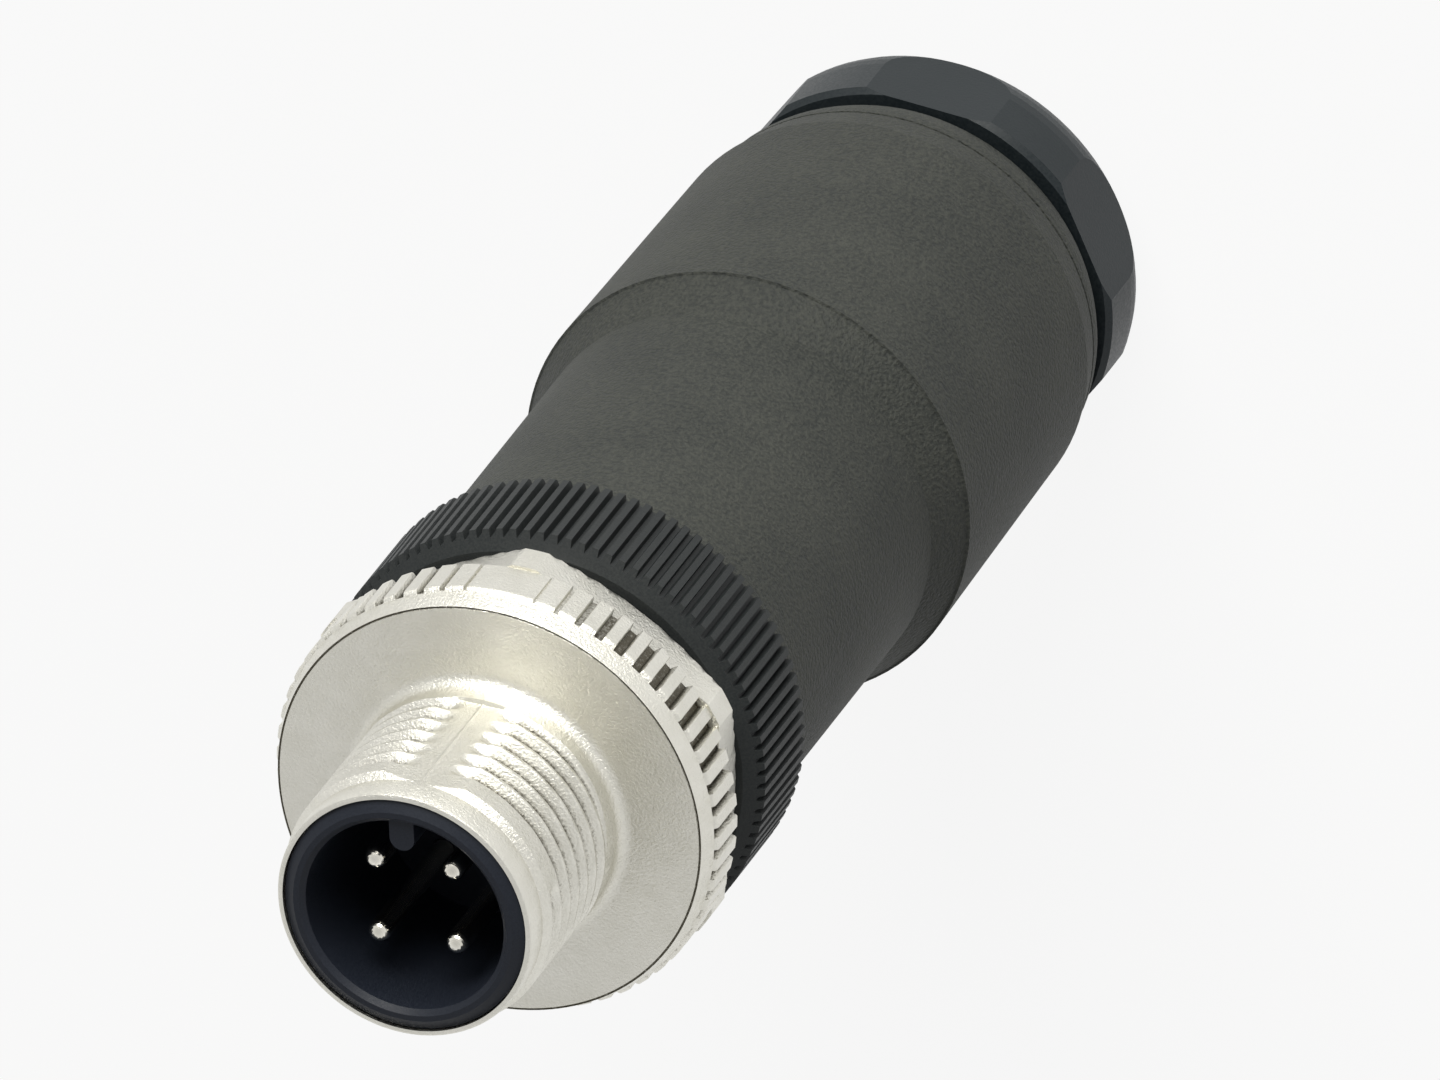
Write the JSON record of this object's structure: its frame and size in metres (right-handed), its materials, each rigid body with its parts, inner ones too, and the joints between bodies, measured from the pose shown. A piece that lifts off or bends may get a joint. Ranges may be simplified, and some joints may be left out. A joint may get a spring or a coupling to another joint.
{
  "type": "m12 connector",
  "caption": "Straight round cable plug with a metal coupling screw, pins around a coding key, a knurled ring, a stepped plastic housing and a hexagonal gland nut.",
  "frame": {"origin": "centre of the gland nut's rear face, at the bottom of the standing plug", "axes": "+Z along the plug's axis from the cable end to the contact face; the coding key lies towards +Y and the pins on the diagonals"},
  "size_m": [0.0203, 0.0202, 0.0643],
  "materials": {
    "satin_nickel": "satin nickel plate on die-cast zinc",
    "black_insert": "moulded, fine grain",
    "grey_insulator": "moulded, smooth",
    "contact_metal": "turned and plated, bright",
    "screw_steel": "turned, zinc plated",
    "black_rubber": "moulded, matt",
    "ring_plastic": "moulded, smooth with ridges",
    "housing_plastic": "moulded, fine grain",
    "cage_plastic": "moulded, natural nylon",
    "nut_plastic": "moulded, silky"
  },
  "bodies": {
    "housing": {"housing_sleeve": "housing_plastic", "cable_seal": "black_rubber"},
    "carrier": {"contact_insert": "black_insert", "contact_carrier": "grey_insulator", "carrier_seal": "black_rubber", "pin_1": "contact_metal", "pin_2": "contact_metal", "pin_3": "contact_metal", "pin_4": "contact_metal", "terminal_screws": "screw_steel"},
    "union_ring": {"knurled_ring": "ring_plastic"},
    "coupling": {"coupling_screw": "satin_nickel"},
    "clamp": {"clamping_cage": "cage_plastic"},
    "nut": {"gland_nut": "nut_plastic"}
  },
  "joints": [
    {"name": "carrier_withdrawal", "type": "slide", "parent": "housing", "child": "carrier", "axis": [0, 0, 1], "range_m": [0, 0.02]},
    {"name": "ring_turn", "type": "hinge", "parent": "carrier", "child": "union_ring", "pos_m": [0, 0, 0.046], "axis": [0, 0, 1], "continuous": true},
    {"name": "coupling_turn", "type": "hinge", "parent": "carrier", "child": "coupling", "pos_m": [0, 0, 0.055], "axis": [0, 0, 1], "continuous": true},
    {"name": "clamp_travel", "type": "slide", "parent": "housing", "child": "clamp", "axis": [0, 0, 1], "range_m": [-0.0045, 0.0005]},
    {"name": "nut_turn", "type": "hinge", "parent": "clamp", "child": "nut", "pos_m": [0, 0, 0.003], "axis": [0, 0, 1], "range_deg": [-1080, 120]}
  ],
  "couplings": [
    {"joint": "nut_turn", "follows": "clamp_travel", "rad_per_m": 4188.8}
  ]
}
